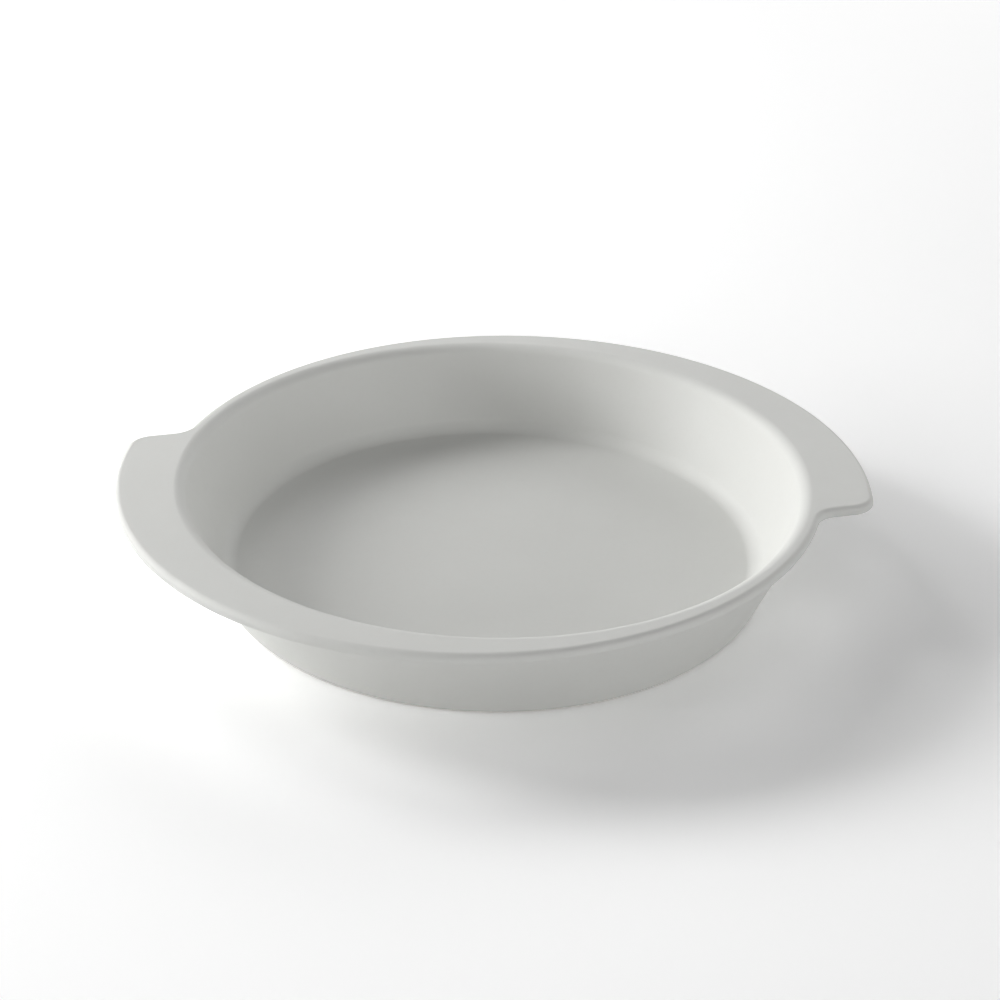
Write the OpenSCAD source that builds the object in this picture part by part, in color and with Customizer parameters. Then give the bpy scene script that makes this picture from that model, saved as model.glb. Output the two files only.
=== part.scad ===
// Round ceramic baking dish. Its flat rim swells into a crescent lug handle on each side.
// The dish is one fired casting, and each module below is one member of it, face to face
// with the next. It stands on z = 0 with its axis on Z, and +X runs through the right handle.

/* [Dish] */
// Height from the table to the flat top of the rim
height = 46; // [40:1:56]
// Outside diameter of the rim where it is slimmest, between the handles
rim_d = 287; // [264:1:320]
// Outside diameter of the wall where it meets the table
base_d = 242; // [220:2:256]
// Thickness of the wall, square to its slope
wall_t = 4.8; // [4:0.2:6]
// Thickness of the floor
floor_t = 5; // [4:0.5:7]
// Radius of the cove between floor and wall
cove_r = 8; // [5:1:14]

/* [Rim] */
// Thickness of the lip and of the handles
lip_t = 4.6; // [3.6:0.2:5.4]
// How far the rim stands out past the top of the wall where it is slimmest
lip_overhang = 4.7; // [2.6:0.1:5.2]
// Radius where the wall rounds over into the flat top of the rim
mouth_r = 6; // [3:0.5:6.5]
// Radius in the corner under the lip
lip_fillet_r = 2.4; // [1:0.2:3.6]
// Rounding of the upper edge of the rim and the handles
edge_top_r = 2.6; // [1:0.1:2.8]
// Rounding of the lower edge of the rim and the handles
edge_under_r = 1.4; // [0.6:0.1:1.6]

/* [Handles] */
// How far a handle's arc stands out past the slimmest rim where it is fullest
handle_reach = 22.5; // [16:0.5:34]
// Direction from +X in which the right handle's arc has tapered to the slimmest rim
slim_angle = 157.6; // [144:0.2:160]
// Degrees by which the end edge of the right handle slopes from +X
end_slope = 14.6; // [8:0.2:20]
// Distance from the dish's axis to the line of a handle's end edge
end_distance = 68; // [56:1:76]
// Radius of a handle's outer corner, seen from above
corner_r = 11.4; // [6:0.2:14]
// Radius of the notch between the end edge and the other handle's arc, seen from above
notch_r = 11.4; // [6:0.2:16]

/* [Foot] */
// Height of the foot ring, which is the depth of the hollow under the floor
foot_h = 2; // [1.4:0.2:3]
// Width of the face that the foot ring stands on
foot_w = 7; // [4:0.5:12]
// How far the foot ring's inner side slopes inwards
foot_draft = 1.2; // [0.4:0.2:2]
// Rounding of the foot ring's outer edge
foot_edge_r = 2.6; // [0.6:0.1:2.8]

/* [Hidden] */
$fn = 180;
glaze_white = [0.86, 0.86, 0.84];
bare_clay = [0.84, 0.79, 0.71];

// How far a cut runs past what it cuts
overrun = 1;
// How far the end edge runs on inside the bends at its two ends
lap = 0.2;
// Degrees by which a bend runs on inside the next
lap_angle = 1;
// How far an edge is drawn in so that it stays inside the bend that it runs on into
hair = 0.08;
// Share of the room on its sides that a rounding may take up
rounding_share = 0.95;

rim_r = rim_d / 2;
base_r = base_d / 2;
lip_z = height - lip_t;
floor_z = foot_h + floor_t;

// The wall is a straight flare from the table to the underside of the lip
wall_top_r = rim_r - lip_overhang;
wall_angle = atan((wall_top_r - base_r) / lip_z);
wall_side = wall_t / cos(wall_angle);
up_wall = [sin(wall_angle), cos(wall_angle)];
inwards = [-1, 0];
outwards = [1, 0];
function outer_r(z) = base_r + z * tan(wall_angle);
function inner_r(z) = outer_r(z) - wall_side;

// How far a rounding reaches along the sides of a corner, with unit vectors a and b along them
function reach(a, b, r) = r / tan(acos(a * b) / 2);
// Centre of the rounding of radius r in the corner at p
function round_c(p, a, b, r) = p + r / sin(acos(a * b) / 2) * (a + b) / norm(a + b);

// The floor disc ends where the cove begins
cove_corner = [inner_r(floor_z), floor_z];
cove_reach = reach(inwards, up_wall, cove_r);
floor_r = inner_r(floor_z) - cove_reach;

// The edge's two roundings share the lip's thickness
edge_fit = min(1, rounding_share * lip_t / (edge_top_r + edge_under_r));
edge_top_fit_r = edge_fit * edge_top_r;
edge_under_fit_r = edge_fit * edge_under_r;

// The lip's two roundings next to the wall, each kept within the room on its sides
lip_corner = [wall_top_r, lip_z];
mouth_corner = [inner_r(height), height];
lip_reach = reach(-up_wall, outwards, 1);
edge_top_in_r = rim_r - edge_top_fit_r;
fillet_room = rounding_share * (rim_r - edge_under_fit_r - wall_top_r);
fillet_r = min(lip_fillet_r, fillet_room / lip_reach);
mouth_room = rounding_share * min(edge_top_in_r - inner_r(height), lip_t / cos(wall_angle));
mouth_fit_r = min(mouth_r, mouth_room / lip_reach);

// The rim band ends midway across the flat between its rounding and the edge's
band_r = (inner_r(height) + mouth_fit_r * lip_reach + edge_top_in_r) / 2;

// Plan of a handle, turned so that its end edge runs along X: notch arc, end edge, corner arc,
// then one long arc about lug_c, as far as the other handle's notch
function heading(a) = [cos(a), sin(a)];
// The point at this y that lies r away from p, on its +X side
function meet(p, r, y) = [p.x + sqrt(r * r - (y - p.y) * (y - p.y)), y];
lug_c = -handle_reach / 2 * heading(slim_angle - end_slope);
lug_r = rim_r + handle_reach / 2;
notch_c = meet(-lug_c, lug_r + notch_r, -end_distance - notch_r);
notch_angle = atan2(notch_c.y + lug_c.y, notch_c.x + lug_c.x);
corner_c = meet(lug_c, lug_r - corner_r, corner_r - end_distance);
corner_angle = atan2(corner_c.y - lug_c.y, corner_c.x - lug_c.x);
end_length = corner_c.x - notch_c.x;
lug_depth = handle_reach + rim_r - band_r + overrun;
// The tight bends run in from the edge by this much, and the filler starts midway across their flat
bend_depth = corner_r / 2;
filler_depth = (edge_top_fit_r + bend_depth) / 2;

// Bearing face of the foot ring
bearing_out_r = base_r - reach(inwards, up_wall, foot_edge_r);
bearing_in_r = bearing_out_r - foot_w;

// The sliver between an outside corner at p and its rounding of radius r
module corner_sliver(p, a, b, r) {
    difference() {
        polygon([p, p + reach(a, b, r) * a, p + reach(a, b, r) * b]);
        translate(round_c(p, a, b, r)) circle(r);
    }
}

// Flat disc of the floor
module floor_disc() {
    color(glaze_white)
    translate([0, 0, foot_h])
        cylinder(r = floor_r, h = floor_t);
}

// Flared wall, with the cove inside it and the fillet under the lip outside it
module side_wall() {
    color(glaze_white)
    rotate_extrude()
        difference() {
            polygon([
                [floor_r, foot_h],
                [outer_r(foot_h), foot_h],
                lip_corner - fillet_r * lip_reach * up_wall,
                lip_corner + fillet_r * lip_reach * outwards,
                [inner_r(lip_z), lip_z],
                cove_corner + cove_reach * up_wall,
                [floor_r, floor_z]
            ]);
            translate(round_c(cove_corner, inwards, up_wall, cove_r)) circle(cove_r);
            translate(round_c(lip_corner, -up_wall, outwards, fillet_r)) circle(fillet_r);
        }
}

// Band at the mouth, where the wall rounds over into the flat top of the rim
module rim_band() {
    color(glaze_white)
    rotate_extrude()
        difference() {
            polygon([
                [inner_r(lip_z), lip_z],
                [band_r, lip_z],
                [band_r, height],
                mouth_corner
            ]);
            corner_sliver(mouth_corner, -up_wall, outwards, mouth_fit_r);
        }
}

// Section across the lip: x is the distance in from the edge
module lip_section(depth) {
    difference() {
        square([depth, lip_t]);
        corner_sliver([0, lip_t], [1, 0], [0, -1], edge_top_fit_r);
        corner_sliver([0, 0], [1, 0], [0, 1], edge_under_fit_r);
    }
}

// Stretch of lip whose edge bends round c at radius r, with the clay inside the bend
module outer_bend(c, r, from, to, depth) {
    translate([c.x, c.y, lip_z])
    rotate_extrude(angle = to - from, start = from)
    translate([r, 0])
    mirror([1, 0])
        lip_section(depth);
}

// The same with the clay outside the bend
module inner_bend(c, r, from, to, depth) {
    translate([c.x, c.y, lip_z])
    rotate_extrude(angle = to - from, start = from)
    translate([r, 0])
        lip_section(depth);
}

// Crescent lug with the half of the rim's edge that it tapers into
module handle() {
    difference() {
        rotate([0, 0, end_slope])
        union() {
            inner_bend(notch_c, notch_r, 90, notch_angle + 180, bend_depth);
            translate([notch_c.x - lap, 2 * hair - end_distance, lip_z])
            rotate([90, 0, 90])
            linear_extrude(end_length + 2 * lap)
                lip_section(bend_depth);
            outer_bend(corner_c, corner_r - hair, -90, corner_angle + lap_angle, bend_depth);
            outer_bend(lug_c, lug_r, corner_angle, notch_angle + 180, lug_depth);
            // Fills the lug between its bends
            translate([0, 0, lip_z])
            linear_extrude(lip_t)
                polygon([
                    [corner_c.x, filler_depth - end_distance],
                    [notch_c.x, filler_depth - end_distance],
                    (lug_r - filler_depth) * heading(notch_angle) - lug_c,
                    lug_c + (lug_r - lug_depth) * heading(corner_angle + lap_angle),
                    lug_c + (lug_r - filler_depth) * heading(corner_angle + lap_angle)
                ]);
        }
        translate([0, 0, lip_z - overrun])
            cylinder(r = band_r, h = lip_t + 2 * overrun);
    }
}

module handle_right() {
    color(glaze_white)
        handle();
}

module handle_left() {
    color(glaze_white)
    rotate([0, 0, 180])
        handle();
}

// Ring that the dish stands on, bare clay underneath
module foot_ring() {
    color(bare_clay)
    rotate_extrude()
        difference() {
            polygon([
                [bearing_in_r, 0],
                [base_r, 0],
                [outer_r(foot_h), foot_h],
                [bearing_in_r - foot_draft, foot_h]
            ]);
            corner_sliver([base_r, 0], inwards, up_wall, foot_edge_r);
        }
}

floor_disc();
side_wall();
rim_band();
handle_right();
handle_left();
foot_ring();
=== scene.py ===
# Looks of a round ceramic baking dish with two crescent lug handles, one fired casting in
# satin white glaze. It stands on a white table in soft studio light.
import math

import bmesh
import bpy
from mathutils import Matrix, Vector


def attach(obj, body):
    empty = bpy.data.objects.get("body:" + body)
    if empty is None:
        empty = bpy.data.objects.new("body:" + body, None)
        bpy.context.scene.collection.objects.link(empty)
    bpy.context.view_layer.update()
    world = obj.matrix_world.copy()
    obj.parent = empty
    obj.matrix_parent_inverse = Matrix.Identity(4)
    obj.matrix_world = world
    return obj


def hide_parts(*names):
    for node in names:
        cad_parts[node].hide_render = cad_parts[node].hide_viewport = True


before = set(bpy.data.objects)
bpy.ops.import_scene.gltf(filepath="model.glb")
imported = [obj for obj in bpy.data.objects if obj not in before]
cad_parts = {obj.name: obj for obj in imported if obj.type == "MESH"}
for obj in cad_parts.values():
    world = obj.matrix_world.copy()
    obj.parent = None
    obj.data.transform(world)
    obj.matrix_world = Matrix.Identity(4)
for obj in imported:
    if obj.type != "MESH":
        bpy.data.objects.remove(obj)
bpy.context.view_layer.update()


# Camera, fitted to the edges of the dish in the photograph: 86 cm from the middle of the
# foot, 30 degrees above the table, through a 68 mm lens.
lens_mm = 68.2
film_width_mm = 36
camera = bpy.data.objects.new("camera", bpy.data.cameras.new("camera"))
camera.data.lens = lens_mm
camera.data.sensor_width = film_width_mm
camera.location = (0, -0.74069, 0.42936)
camera.rotation_euler = [math.radians(angle) for angle in (61.7044, -0.8532, 0.2155)]
bpy.context.scene.collection.objects.link(camera)
bpy.context.scene.camera = camera


# Table: white paper, swept so far back that no edge of it is seen. The camera sees it brighter
# than it is to the dish, so that lit paper comes out white and the shadow stays soft grey, and
# half a metre out the paper starts to fade into the white backdrop.
table_size = 40
paper_white = 0.95
paper_seen = 1.27
fade_start, fade_end = 0.5, 1.4


def new_material(name):
    material = bpy.data.materials.new(name)
    material.use_nodes = True
    return material, material.node_tree.nodes, material.node_tree.links.new


def seen_directly(nodes, join):
    """1 for a ray from the camera, in a mirror or through glass, 0 for light that spreads"""
    path = nodes.new("ShaderNodeLightPath")
    seen = path.outputs["Is Camera Ray"]
    for name in ("Is Glossy Ray", "Is Transmission Ray"):
        either = nodes.new("ShaderNodeMath")
        either.operation = "MAXIMUM"
        join(seen, either.inputs[0])
        join(path.outputs[name], either.inputs[1])
        seen = either.outputs[0]
    return seen


paper, nodes, join = new_material("white_paper")
nodes.remove(nodes["Principled BSDF"])
seen = seen_directly(nodes, join)
choice = nodes.new("ShaderNodeMixShader")
join(seen, choice.inputs[0])
for socket, level in ((1, paper_white), (2, paper_seen)):
    matt = nodes.new("ShaderNodeBsdfDiffuse")
    matt.inputs["Color"].default_value = (level, level, level, 1)
    join(matt.outputs[0], choice.inputs[socket])
away = nodes.new("ShaderNodeVectorMath")
away.operation = "LENGTH"
join(nodes.new("ShaderNodeTexCoord").outputs["Object"], away.inputs[0])
faded = nodes.new("ShaderNodeMapRange")
faded.inputs["From Min"].default_value = fade_start
faded.inputs["From Max"].default_value = fade_end
join(away.outputs["Value"], faded.inputs["Value"])
fade = nodes.new("ShaderNodeMath")
fade.operation = "MULTIPLY"
join(seen, fade.inputs[0])
join(faded.outputs[0], fade.inputs[1])
white = nodes.new("ShaderNodeEmission")
far_view = nodes.new("ShaderNodeMixShader")
join(fade.outputs[0], far_view.inputs[0])
join(choice.outputs[0], far_view.inputs[1])
join(white.outputs[0], far_view.inputs[2])
join(far_view.outputs[0], nodes["Material Output"].inputs["Surface"])

bm = bmesh.new()
bmesh.ops.create_grid(bm, x_segments=1, y_segments=1, size=table_size / 2)
mesh = bpy.data.meshes.new("table")
bm.to_mesh(mesh)
bm.free()
mesh.materials.append(paper)
table = bpy.data.objects.new("table", mesh)
bpy.context.scene.collection.objects.link(table)


# Light: a wide window on the left, brightest towards the back and close enough to fade across
# the dish, with far pale screens that throw some of it back. Each row is a lamp's direction and
# height in degrees, its width, its distance in metres, and how bright it makes a white card.
near, far = 2.4, 12
lamps = (
    ("window_left", 160, 26, 18, near, 0.47),
    ("window_low", 192, 6, 18, near, 0.33),
    ("window_side", 176, 16, 18, near, 0.205),
    ("window_middle", 144, 26, 18, near, 0.16),
    ("window_high", 128, 38, 18, near, 0.156),
    ("window_back", 96, 26, 18, near, 0.045),
    ("low_screen", 328, 8, 30, far, 0.36),
    ("back_screen", 60, 24, 30, far, 0.21),
    ("front_screen", 295, 24, 30, far, 0.12),
    ("side_screen", 240, 16, 15, far, 0.08),
    ("ceiling", 0, 80, 50, far, 0.137),
)
for name, azimuth, elevation, width, distance, level in lamps:
    lamp = bpy.data.objects.new(name, bpy.data.lights.new(name, "AREA"))
    lamp.data.shape = "DISK"
    lamp.data.size = 2 * distance * math.tan(math.radians(width / 2))
    lamp.data.energy = level * (math.pi * distance) ** 2
    aim = Matrix.Rotation(math.radians(azimuth), 4, "Z")
    aim = aim @ Matrix.Rotation(math.radians(90 - elevation), 4, "Y")
    lamp.matrix_world = aim @ Matrix.Translation((0, 0, distance))
    lamp.visible_camera = False
    bpy.context.scene.collection.objects.link(lamp)

studio = bpy.data.worlds.new("studio")
studio.use_nodes = True
bpy.context.scene.world = studio
bpy.context.scene.view_settings.view_transform = "Standard"
nodes, join = studio.node_tree.nodes, studio.node_tree.links.new
backdrop = nodes["Background"]
backdrop.inputs["Color"].default_value = (1, 1, 1, 1)
join(seen_directly(nodes, join), backdrop.inputs["Strength"])


# Floor of the dish: a flat disc of white stoneware, jiggered in one with the wall, under a
# satin white glaze with a faint eggshell skin. The glaze also lines the hollow underneath.
mm = 0.001
turning_steps = 240
sharp_angle = 35
weld_gap = 0.002
glaze_white = (0.658, 0.662, 0.640)
glaze_cloud = (0.645, 0.648, 0.626)
glaze_fleck = (0.60, 0.598, 0.572)


def noise(nodes, join, where, size_mm, detail, roughness=0.5):
    """Uneven pattern whose patches are about this wide"""
    pattern = nodes.new("ShaderNodeTexNoise")
    pattern.inputs["Scale"].default_value = 1 / (size_mm * mm)
    pattern.inputs["Detail"].default_value = detail
    pattern.inputs["Roughness"].default_value = roughness
    join(where, pattern.inputs["Vector"])
    return pattern.outputs["Fac"]


def ranged(nodes, join, value, low, high, start=0.3, end=0.7):
    """The pattern's values from start to end, spread from low to high"""
    spread = nodes.new("ShaderNodeMapRange")
    limits = (("From Min", start), ("From Max", end), ("To Min", low), ("To Max", high))
    for socket, number in limits:
        spread.inputs[socket].default_value = number
    join(value, spread.inputs["Value"])
    return spread.outputs[0]


def mixed(nodes, join, amount, first, second):
    """First colour, turned into the second by this amount"""
    mix = nodes.new("ShaderNodeMix")
    mix.data_type = "RGBA"
    join(amount, mix.inputs["Factor"])
    for name, colour in (("A", first), ("B", second)):
        socket = [s for s in mix.inputs if s.name == name and s.type == "RGBA"][0]
        if isinstance(colour, bpy.types.NodeSocket):
            join(colour, socket)
        else:
            socket.default_value = (*colour, 1)
    return [s for s in mix.outputs if s.type == "RGBA"][0]


def bumped(nodes, join, height, depth_mm, normal=None):
    """Surface normal tilted by a height pattern of this depth"""
    bump = nodes.new("ShaderNodeBump")
    bump.inputs["Distance"].default_value = depth_mm * mm
    bump.inputs["Strength"].default_value = 1
    join(height, bump.inputs["Height"])
    if normal:
        join(normal, bump.inputs["Normal"])
    return bump.outputs["Normal"]


def glaze_coat(nodes, join, where):
    """Colour, roughness and normal of the satin glaze"""
    cloud = noise(nodes, join, where, size_mm=45, detail=3)
    clouded = ranged(nodes, join, cloud, low=0, high=1)
    tint = mixed(nodes, join, clouded, glaze_cloud, glaze_white)
    fleck = noise(nodes, join, where, size_mm=2.2, detail=4)
    flecked = ranged(nodes, join, fleck, low=0, high=0.12, start=0.55, end=0.7)
    colour = mixed(nodes, join, flecked, tint, glaze_fleck)
    patch = noise(nodes, join, where, size_mm=9, detail=4)
    roughness = ranged(nodes, join, patch, low=0.56, high=0.66)
    slow_wave = noise(nodes, join, where, size_mm=28, detail=1)
    wave = bumped(nodes, join, slow_wave, depth_mm=0.12)
    eggshell = noise(nodes, join, where, size_mm=1.3, detail=2)
    skin = bumped(nodes, join, eggshell, depth_mm=0.012, normal=wave)
    return colour, roughness, skin


glaze, nodes, join = new_material("satin_white_glaze")
where = nodes.new("ShaderNodeTexCoord").outputs["Object"]
surface = nodes["Principled BSDF"]
for socket, value in zip(("Base Color", "Roughness", "Normal"), glaze_coat(nodes, join, where)):
    join(value, surface.inputs[socket])
surface.inputs["IOR"].default_value = 1.5


def finished(bm, name, material, node):
    """The bmesh as a piece of the dish, smooth but for its real edges"""
    bmesh.ops.recalc_face_normals(bm, faces=bm.faces)
    mesh = bpy.data.meshes.new(name)
    bm.to_mesh(mesh)
    bm.free()
    mesh.shade_smooth()
    mesh.set_sharp_from_angle(angle=math.radians(sharp_angle))
    mesh.materials.append(material)
    piece = bpy.data.objects.new(name, mesh)
    bpy.context.scene.collection.objects.link(piece)
    even = piece.modifiers.new("even_shading", "WEIGHTED_NORMAL")
    even.keep_sharp = True
    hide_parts(node)
    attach(piece, "root")
    return piece


def turned(section):
    """Clay turned about the dish's axis. Each corner of its section has a radius, a height, how
    far its rounding reaches along its sides, and the rounding's steps"""
    bm = bmesh.new()
    corners = [bm.verts.new((radius * mm, 0, height * mm))
               for radius, height, reach, steps in section]
    for corner, following in zip(corners, corners[1:] + corners[:1]):
        if corner.co.x + following.co.x > 0:
            bm.edges.new((corner, following))
    for corner, (radius, height, reach, steps) in zip(corners, section):
        if reach:
            bmesh.ops.bevel(bm, geom=[corner], affect="VERTICES", offset=reach * mm,
                            offset_type="OFFSET", segments=steps, profile=0.5, material=-1)
    bmesh.ops.spin(bm, geom=bm.verts[:] + bm.edges[:], cent=(0, 0, 0), axis=(0, 0, 1),
                   dvec=(0, 0, 0), angle=2 * math.pi, steps=turning_steps, use_merge=True,
                   use_duplicate=False)
    bmesh.ops.remove_doubles(bm, verts=bm.verts, dist=weld_gap * mm)
    return bm


foot_height = 2
floor_top = 7
floor_radius = 112
floor = turned((
    (0, floor_top, 0, 0),
    (floor_radius, floor_top, 0, 0),
    (floor_radius, foot_height, 0, 0),
    (0, foot_height, 0, 0),
))
finished(floor, "dish_floor", glaze, "floor_disc")


# Wall: flares straight out from the table to the lip, with a cove inside at the floor and a
# small fillet outside under the lip. Jiggered in one with the floor.
base_radius = 121
flare = 0.42995
wall_side = 5.225
lip_under = 41.4
cove_reach = 5.27
fillet_reach = 1.58
flange = 0.02
flange_radius = 140.5


def outside(height):
    """Outer radius of the wall at this height"""
    return base_radius + flare * height


wall = turned((
    (floor_radius, foot_height, 0, 0),
    (outside(foot_height), foot_height, 0, 0),
    (outside(lip_under - flange), lip_under - flange, fillet_reach, 10),
    (flange_radius, lip_under - flange, 0, 0),
    (flange_radius, lip_under, 0, 0),
    (outside(lip_under) - wall_side, lip_under, 0, 0),
    (outside(floor_top) - wall_side, floor_top, cove_reach, 20),
    (floor_radius, floor_top, 0, 0),
))
finished(wall, "flared_wall", glaze, "side_wall")


# Mouth: the band where the wall rolls over in a soft rounding into the flat top of the rim,
# sponged smooth before it was glazed.
rim_top = 46
band_radius = 140.2
mouth_reach = 3.95
band = turned((
    (outside(lip_under) - wall_side, lip_under, 0, 0),
    (band_radius, lip_under, 0, 0),
    (band_radius, rim_top, 0, 0),
    (outside(rim_top) - wall_side, rim_top, mouth_reach, 24),
))
finished(band, "rolled_mouth", glaze, "rim_band")


# Handles: two crescent lugs pressed in one with the rim, the same but for a half turn. A lug's
# edge is a notch, a straight end, a corner and one long arc that tapers into the slim rim.
slim_rim_radius = 143.5
lug_reach = 22.5
slim_angle = math.radians(157.6)
end_slope = math.radians(14.6)
end_distance = 68
corner_radius = 11.4
notch_radius = 11.4
top_edge_reach = 2.6
under_edge_reach = 1.4
tight_steps, long_steps, seam_steps = 36, 170, 120
seam_start = 11


def heading(angle):
    return Vector((math.cos(angle), math.sin(angle), 0))


def level_with(centre, radius, y):
    """The point at this y that lies the radius away from the centre, on its +X side"""
    return Vector((centre.x + math.sqrt(radius ** 2 - (y - centre.y) ** 2), y, 0))


def direction(centre, point):
    return math.atan2(point.y - centre.y, point.x - centre.x)


def bend(bm, vert, centre, angle, steps):
    """The edge carried on from its last vertex round a bend"""
    made = bmesh.ops.spin(bm, geom=[vert], cent=centre, axis=(0, 0, 1), dvec=(0, 0, 0),
                          angle=angle, steps=steps, use_duplicate=False)
    return made["geom_last"][0]


def lug():
    """A lug in mm, turned so that its end edge runs along X"""
    lug_centre = -lug_reach / 2 * heading(slim_angle - end_slope)
    lug_radius = slim_rim_radius + lug_reach / 2
    notch_y = -end_distance - notch_radius
    notch_centre = level_with(-lug_centre, lug_radius + notch_radius, notch_y)
    corner_y = corner_radius - end_distance
    corner_centre = level_with(lug_centre, lug_radius - corner_radius, corner_y)
    notch_turn = direction(-lug_centre, notch_centre)
    corner_turn = direction(lug_centre, corner_centre)
    seam_turn = -seam_start * math.pi / seam_steps - end_slope

    bm = bmesh.new()
    start = bm.verts.new(notch_centre - notch_radius * heading(notch_turn))
    vert = bend(bm, start, notch_centre, -math.pi / 2 - notch_turn, tight_steps)
    end = bm.verts.new((corner_centre.x, -end_distance, 0))
    bm.edges.new((vert, end))
    vert = bend(bm, end, corner_centre, corner_turn + math.pi / 2, tight_steps)
    vert = bend(bm, vert, lug_centre, notch_turn + math.pi - corner_turn, long_steps)
    edge = bm.edges[:]
    inner = bm.verts.new(-band_radius * heading(seam_turn))
    bm.edges.new((vert, inner))
    vert = bend(bm, inner, (0, 0, 0), -math.pi, seam_steps)
    bm.edges.new((vert, start))
    return bm, edge


def plan(edge):
    """The edge's two ends seen from above, in either order"""
    return frozenset(vert.co.xy.to_tuple(4) for vert in edge.verts)


level_slack = 0.01
for side, half_turn in (("right", 0), ("left", math.pi)):
    bm, edge = lug()
    face = bmesh.ops.contextual_create(bm, geom=bm.edges[:])["faces"][0]
    height = Vector((0, 0, rim_top - lip_under))
    raised = bmesh.ops.extrude_face_region(bm, geom=[face], use_keep_orig=True)["geom"]
    raised_verts = [part for part in raised if isinstance(part, bmesh.types.BMVert)]
    bmesh.ops.translate(bm, vec=height, verts=raised_verts)
    outline = {plan(e) for e in edge}
    for level, reach, steps in ((height.z, top_edge_reach, 8), (0, under_edge_reach, 6)):
        rounded = [e for e in bm.edges if plan(e) in outline
                   and all(abs(v.co.z - level) < level_slack for v in e.verts)]
        bmesh.ops.bevel(bm, geom=rounded, affect="EDGES", offset=reach, offset_type="OFFSET",
                        segments=steps, profile=0.5, material=-1)
    wide = [face for face in bm.faces if len(face.verts) > 4]
    bmesh.ops.triangulate(bm, faces=wide, quad_method="BEAUTY", ngon_method="BEAUTY")
    bmesh.ops.translate(bm, vec=(0, 0, lip_under), verts=bm.verts)
    turn = Matrix.Rotation(end_slope + half_turn, 3, "Z")
    bmesh.ops.rotate(bm, cent=(0, 0, 0), matrix=turn, verts=bm.verts)
    bmesh.ops.scale(bm, vec=(mm, mm, mm), verts=bm.verts)
    finished(bm, side + "_lug", glaze, "handle_" + side)


# Foot: the ring that the dish stands on. The glaze was wiped off its underside before firing,
# so that it wouldn't stick to the kiln shelf, and the bare clay shows there.
clay_buff = (0.84, 0.79, 0.71)
clay_dark = (0.76, 0.70, 0.61)
clay_roughness = 0.85
foot_inner_radius = 112.29
foot_draft = 1.2
foot_flange_radius = 109.6
foot_edge_reach = 1.71
foot_inner_reach = 0.4
foot_root_reach = 0.8
glaze_line = 0.3
glaze_line_softness = 0.05

foot_finish, nodes, join = new_material("foot_glaze_and_clay")
where = nodes.new("ShaderNodeTexCoord").outputs["Object"]
surface = nodes["Principled BSDF"]
surface.inputs["IOR"].default_value = 1.5
colour, roughness, skin = glaze_coat(nodes, join, where)
split = nodes.new("ShaderNodeSeparateXYZ")
join(where, split.inputs[0])
drips = noise(nodes, join, where, size_mm=12, detail=3)
waver = ranged(nodes, join, drips, low=-0.15 * mm, high=0.15 * mm)
above = nodes.new("ShaderNodeMath")
above.operation = "ADD"
join(split.outputs["Z"], above.inputs[0])
join(waver, above.inputs[1])
coated = ranged(nodes, join, above.outputs[0], low=0, high=1,
                start=(glaze_line - glaze_line_softness) * mm,
                end=(glaze_line + glaze_line_softness) * mm)
grain = noise(nodes, join, where, size_mm=0.8, detail=5, roughness=0.7)
bare = mixed(nodes, join, ranged(nodes, join, grain, low=0, high=1), clay_dark, clay_buff)
join(mixed(nodes, join, coated, bare, colour), surface.inputs["Base Color"])
blend = nodes.new("ShaderNodeMix")
blend.inputs["A"].default_value = clay_roughness
join(coated, blend.inputs["Factor"])
join(roughness, blend.inputs["B"])
join(blend.outputs[0], surface.inputs["Roughness"])
join(bumped(nodes, join, grain, depth_mm=0.03, normal=skin), surface.inputs["Normal"])

foot = turned((
    (foot_inner_radius, 0, foot_inner_reach, 4),
    (base_radius, 0, foot_edge_reach, 8),
    (outside(foot_height), foot_height, 0, 0),
    (foot_flange_radius, foot_height, 0, 0),
    (foot_flange_radius, foot_height - flange, 0, 0),
    (foot_inner_radius - foot_draft, foot_height - flange, foot_root_reach, 6),
))
finished(foot, "foot", foot_finish, "foot_ring")
